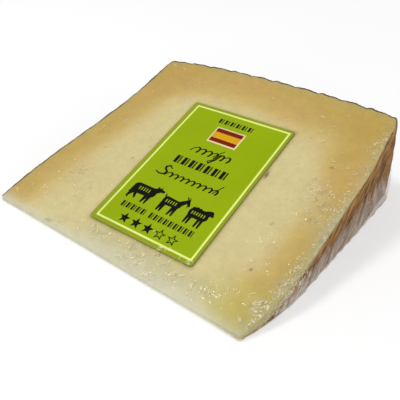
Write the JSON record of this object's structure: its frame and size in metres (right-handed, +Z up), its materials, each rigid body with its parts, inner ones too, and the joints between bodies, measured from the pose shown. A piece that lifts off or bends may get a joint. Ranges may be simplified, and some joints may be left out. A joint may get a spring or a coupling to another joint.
{
  "type": "wrapped cheese wedge",
  "caption": "Wedge of pressed aged cheese lying on its cut face, with brown woven-pattern rind, tight clear film and a green paper label.",
  "frame": {"origin": "under the middle of the wedge's box, on the surface that the lower cut face lies on", "axes": "+X along the axis of the wheel that the wedge was cut from, +Y from the thin tip to the rim, +Z up"},
  "size_m": [0.1126, 0.098, 0.0331],
  "materials": {
    "cheese_paste": "pale cream cut cheese, more golden towards the rind, satin",
    "rind": "brown rind with a pressed woven pattern, satin",
    "clear_film": "clear tight wrapping film, glossy, with fine wrinkles and gathered pleats",
    "label_face": "yellow-green printed paper with a clear gloss coat",
    "label_print": "printed ink in black, pale yellow, red and golden yellow"
  },
  "bodies": {
    "root": {"wrapped_wedge": "cheese_paste", "label": "label_face"}
  },
  "joints": []
}
